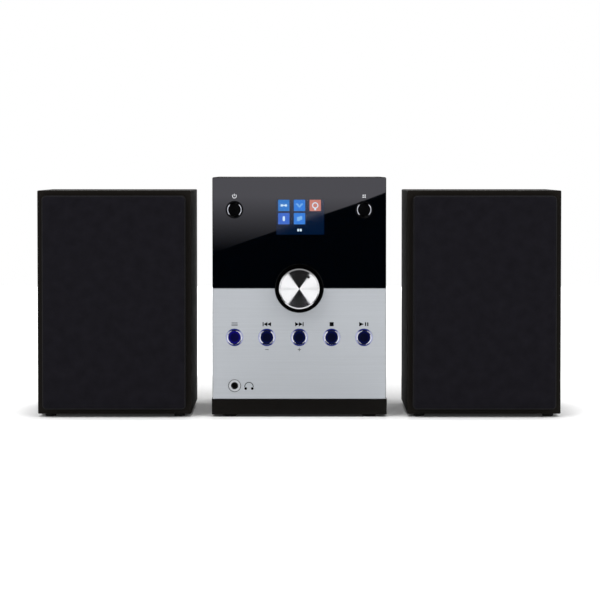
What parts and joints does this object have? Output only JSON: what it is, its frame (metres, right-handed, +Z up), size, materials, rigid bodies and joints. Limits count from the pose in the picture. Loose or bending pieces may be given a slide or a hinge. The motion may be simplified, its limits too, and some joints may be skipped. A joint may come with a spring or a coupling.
{
  "type": "mini hifi system",
  "caption": "Upright disc and radio unit with a gloss black and brushed silver front, a large spun volume knob, a lidded disc well, and cloth-fronted loudspeakers at each side.",
  "frame": {"origin": "on the shelf, under the middle of the whole set", "axes": "+X along the shelf to the set's right as seen from the front, the fronts face -Y, +Z up"},
  "size_m": [0.4366, 0.209, 0.2],
  "materials": {
    "chassis_steel": "galvanised sheet",
    "case_paint": "fine textured black paint",
    "frame_plastic": "fine grained black moulding",
    "window_acrylic": "polished black acrylic",
    "trim_aluminium": "fine brushed and anodised silver",
    "knob_aluminium": "spun face with a bright chamfer",
    "ring_plastic": "gloss black",
    "collar_chrome": "bright plated",
    "light_guide": "blue light guide",
    "button_plastic": "satin black",
    "display_glass": "dark display glass",
    "socket_plastic": "black moulding",
    "board_laminate": "green board",
    "deck_plastic": "fine grained black moulding",
    "lid_plastic": "black",
    "bright_steel": "plated or ground",
    "screw_steel": "black zinc",
    "sled_plastic": "dark moulding",
    "foot_rubber": "matt",
    "lever_red": "red",
    "lever_black": "black",
    "cabinet_wood": "black wrapped board",
    "grille_plastic": "black",
    "grille_fabric": "black knitted cloth",
    "basket_steel": "black",
    "surround_rubber": "matt",
    "cone_paper": "dark pressed pulp"
  },
  "bodies": {
    "main_unit": {"base_chassis": "chassis_steel", "case_cover": "case_paint", "front_frame": "frame_plastic", "front_window": "window_acrylic", "front_trim": "trim_aluminium", "rear_panel": "case_paint", "unit_feet": "foot_rubber", "case_screws": "screw_steel", "knob_ring": "ring_plastic", "volume_encoder": "bright_steel", "button_collars": "collar_chrome", "button_light_rings": "light_guide", "front_board": "board_laminate", "display_module": "display_glass", "headphone_jack": "socket_plastic", "top_deck": "deck_plastic", "mechanism_frame": "chassis_steel", "sled_rods": "bright_steel", "spindle_motor": "bright_steel", "main_board": "board_laminate", "power_supply": "board_laminate", "mains_inlet": "socket_plastic", "terminal_block": "socket_plastic", "usb_socket": "bright_steel", "aux_socket": "socket_plastic", "aerial_grommet": "foot_rubber"},
    "cd_lid": {"cd_lid": "lid_plastic"},
    "volume_knob": {"volume_knob": "knob_aluminium", "encoder_shaft": "bright_steel"},
    "disc_hub": {"disc_hub": "sled_plastic"},
    "laser_sled": {"laser_sled": "sled_plastic"},
    "power_button": {"power_button": "button_plastic"},
    "mode_button": {"mode_button": "button_plastic"},
    "menu_button": {"menu_button": "button_plastic"},
    "previous_button": {"previous_button": "button_plastic"},
    "next_button": {"next_button": "button_plastic"},
    "stop_button": {"stop_button": "button_plastic"},
    "play_button": {"play_button": "button_plastic"},
    "terminal_lever_1": {"terminal_lever_1": "lever_red"},
    "terminal_lever_2": {"terminal_lever_2": "lever_black"},
    "terminal_lever_3": {"terminal_lever_3": "lever_red"},
    "terminal_lever_4": {"terminal_lever_4": "lever_black"},
    "left_speaker": {"left_cabinet": "cabinet_wood", "left_baffle": "cabinet_wood", "left_driver_basket": "basket_steel", "left_driver_surround": "surround_rubber", "left_lead_gland": "foot_rubber", "left_speaker_feet": "foot_rubber"},
    "left_grille": {"left_grille_frame": "grille_plastic", "left_grille_cloth": "grille_fabric"},
    "left_driver_cone": {"left_driver_cone": "cone_paper"},
    "right_speaker": {"right_cabinet": "cabinet_wood", "right_baffle": "cabinet_wood", "right_driver_basket": "basket_steel", "right_driver_surround": "surround_rubber", "right_lead_gland": "foot_rubber", "right_speaker_feet": "foot_rubber"},
    "right_grille": {"right_grille_frame": "grille_plastic", "right_grille_cloth": "grille_fabric"},
    "right_driver_cone": {"right_driver_cone": "cone_paper"}
  },
  "joints": [
    {"name": "lid_hinge", "type": "hinge", "parent": "main_unit", "child": "cd_lid", "pos_m": [0, 0.0679, 0.198], "axis": [-1, 0, 0], "range_deg": [0, 70]},
    {"name": "volume_turn", "type": "hinge", "parent": "main_unit", "child": "volume_knob", "pos_m": [0, -0.0905, 0.1075], "axis": [0, -1, 0], "continuous": true},
    {"name": "disc_spin", "type": "hinge", "parent": "main_unit", "child": "disc_hub", "pos_m": [0, 0.0036, 0.1874], "axis": [0, 0, 1], "continuous": true},
    {"name": "sled_slide", "type": "slide", "parent": "main_unit", "child": "laser_sled", "axis": [1, 0, 0], "range_m": [0, 0.034]},
    {"name": "power_press", "type": "slide", "parent": "main_unit", "child": "power_button", "axis": [0, 1, 0], "range_m": [0, 0.0008], "stiffness_N_per_m": 1500, "springref_m": -0.0003},
    {"name": "mode_press", "type": "slide", "parent": "main_unit", "child": "mode_button", "axis": [0, 1, 0], "range_m": [0, 0.0008], "stiffness_N_per_m": 1500, "springref_m": -0.0003},
    {"name": "menu_press", "type": "slide", "parent": "main_unit", "child": "menu_button", "axis": [0, 1, 0], "range_m": [0, 0.0008], "stiffness_N_per_m": 1500, "springref_m": -0.0003},
    {"name": "previous_press", "type": "slide", "parent": "main_unit", "child": "previous_button", "axis": [0, 1, 0], "range_m": [0, 0.0008], "stiffness_N_per_m": 1500, "springref_m": -0.0003},
    {"name": "next_press", "type": "slide", "parent": "main_unit", "child": "next_button", "axis": [0, 1, 0], "range_m": [0, 0.0008], "stiffness_N_per_m": 1500, "springref_m": -0.0003},
    {"name": "stop_press", "type": "slide", "parent": "main_unit", "child": "stop_button", "axis": [0, 1, 0], "range_m": [0, 0.0008], "stiffness_N_per_m": 1500, "springref_m": -0.0003},
    {"name": "play_press", "type": "slide", "parent": "main_unit", "child": "play_button", "axis": [0, 1, 0], "range_m": [0, 0.0008], "stiffness_N_per_m": 1500, "springref_m": -0.0003},
    {"name": "terminal_1_press", "type": "hinge", "parent": "main_unit", "child": "terminal_lever_1", "pos_m": [-0.008, 0.0955, 0.093], "axis": [-1, 0, 0], "range_deg": [0, 20], "stiffness_Nm_per_rad": 0.08, "springref_deg": -8.59},
    {"name": "terminal_2_press", "type": "hinge", "parent": "main_unit", "child": "terminal_lever_2", "pos_m": [0.004, 0.0955, 0.093], "axis": [-1, 0, 0], "range_deg": [0, 20], "stiffness_Nm_per_rad": 0.08, "springref_deg": -8.59},
    {"name": "terminal_3_press", "type": "hinge", "parent": "main_unit", "child": "terminal_lever_3", "pos_m": [0.016, 0.0955, 0.093], "axis": [-1, 0, 0], "range_deg": [0, 20], "stiffness_Nm_per_rad": 0.08, "springref_deg": -8.59},
    {"name": "terminal_4_press", "type": "hinge", "parent": "main_unit", "child": "terminal_lever_4", "pos_m": [0.028, 0.0955, 0.093], "axis": [-1, 0, 0], "range_deg": [0, 20], "stiffness_Nm_per_rad": 0.08, "springref_deg": -8.59},
    {"name": "left_speaker_place", "type": "slide", "parent": "main_unit", "child": "left_speaker", "axis": [-1, 0, 0], "range_m": [0, 0.25]},
    {"name": "left_grille_pull", "type": "slide", "parent": "left_speaker", "child": "left_grille", "axis": [0, -1, 0], "range_m": [0, 0.03]},
    {"name": "left_cone_stroke", "type": "slide", "parent": "left_speaker", "child": "left_driver_cone", "axis": [0, -1, 0], "range_m": [-0.0015, 0.0015], "stiffness_N_per_m": 1200},
    {"name": "right_speaker_place", "type": "slide", "parent": "main_unit", "child": "right_speaker", "axis": [1, 0, 0], "range_m": [0, 0.25]},
    {"name": "right_grille_pull", "type": "slide", "parent": "right_speaker", "child": "right_grille", "axis": [0, -1, 0], "range_m": [0, 0.03]},
    {"name": "right_cone_stroke", "type": "slide", "parent": "right_speaker", "child": "right_driver_cone", "axis": [0, -1, 0], "range_m": [-0.0015, 0.0015], "stiffness_N_per_m": 1200}
  ]
}
